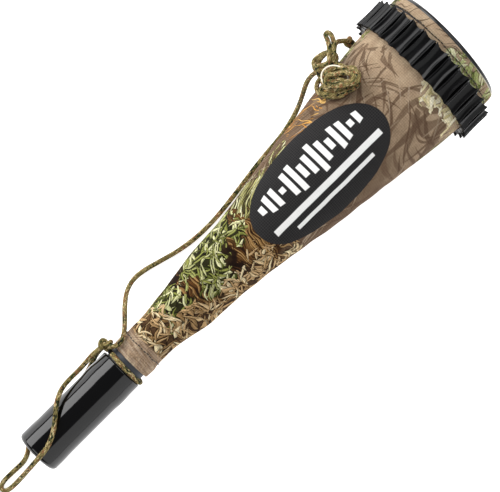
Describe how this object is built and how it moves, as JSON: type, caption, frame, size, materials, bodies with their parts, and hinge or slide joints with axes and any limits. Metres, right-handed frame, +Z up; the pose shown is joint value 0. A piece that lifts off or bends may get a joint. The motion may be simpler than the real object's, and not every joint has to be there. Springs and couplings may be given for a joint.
{
  "type": "game call bugle tube",
  "caption": "Tapered game call bugle tube in a camouflage fabric sleeve, with gloss mouthpiece, ribbed rubber band and paracord lanyard, lying on its side.",
  "frame": {"origin": "centre of the footprint of the tube without its lanyard, on the surface it lies on", "axes": "+X along the tube in plan, towards the bell; +Z up. The tube lies on its mouthpiece's lip and its band, so its axis rises 6 degrees towards the bell"},
  "size_m": [0.5093, 0.1404, 0.1291],
  "materials": {
    "mouthpiece": "gloss",
    "horn": "satin",
    "seal": "matt",
    "rim": "gloss",
    "camo_fabric": "ripstop weave, printed",
    "elastic": "knitted",
    "black_thread": "twisted",
    "band": "satin",
    "webbing": "woven",
    "cord": "braided",
    "cord_elastic": "matt"
  },
  "bodies": {
    "tube": {"horn_tube": "horn", "neck_seal": "seal", "bell_rim": "rim", "camo_sleeve": "camo_fabric", "sleeve_seam": "camo_fabric", "neck_hem": "camo_fabric", "neck_elastic": "elastic", "neck_stitching": "black_thread", "bell_hem": "camo_fabric", "bell_elastic": "elastic", "bell_stitching": "black_thread", "lanyard_tab": "webbing", "lanyard_top_knot": "cord", "lanyard_top_strand": "cord", "lanyard_hank": "cord", "hank_ring": "cord_elastic", "lanyard_main_strand": "cord", "lanyard_neck_knot": "cord", "neck_wrap": "cord", "wrist_loop": "cord"},
    "mouthpiece": {"mouthpiece": "mouthpiece"},
    "band": {"ribbed_band": "band"}
  },
  "joints": [
    {"name": "mouthpiece_turn", "type": "hinge", "parent": "tube", "child": "mouthpiece", "pos_m": [-0.15382, 0, 0.02722], "axis": [0.9945, 0, 0.1049], "continuous": true},
    {"name": "band_turn", "type": "hinge", "parent": "tube", "child": "band", "pos_m": [0.20022, 0, 0.06455], "axis": [0.9945, 0, 0.1049], "continuous": true}
  ]
}
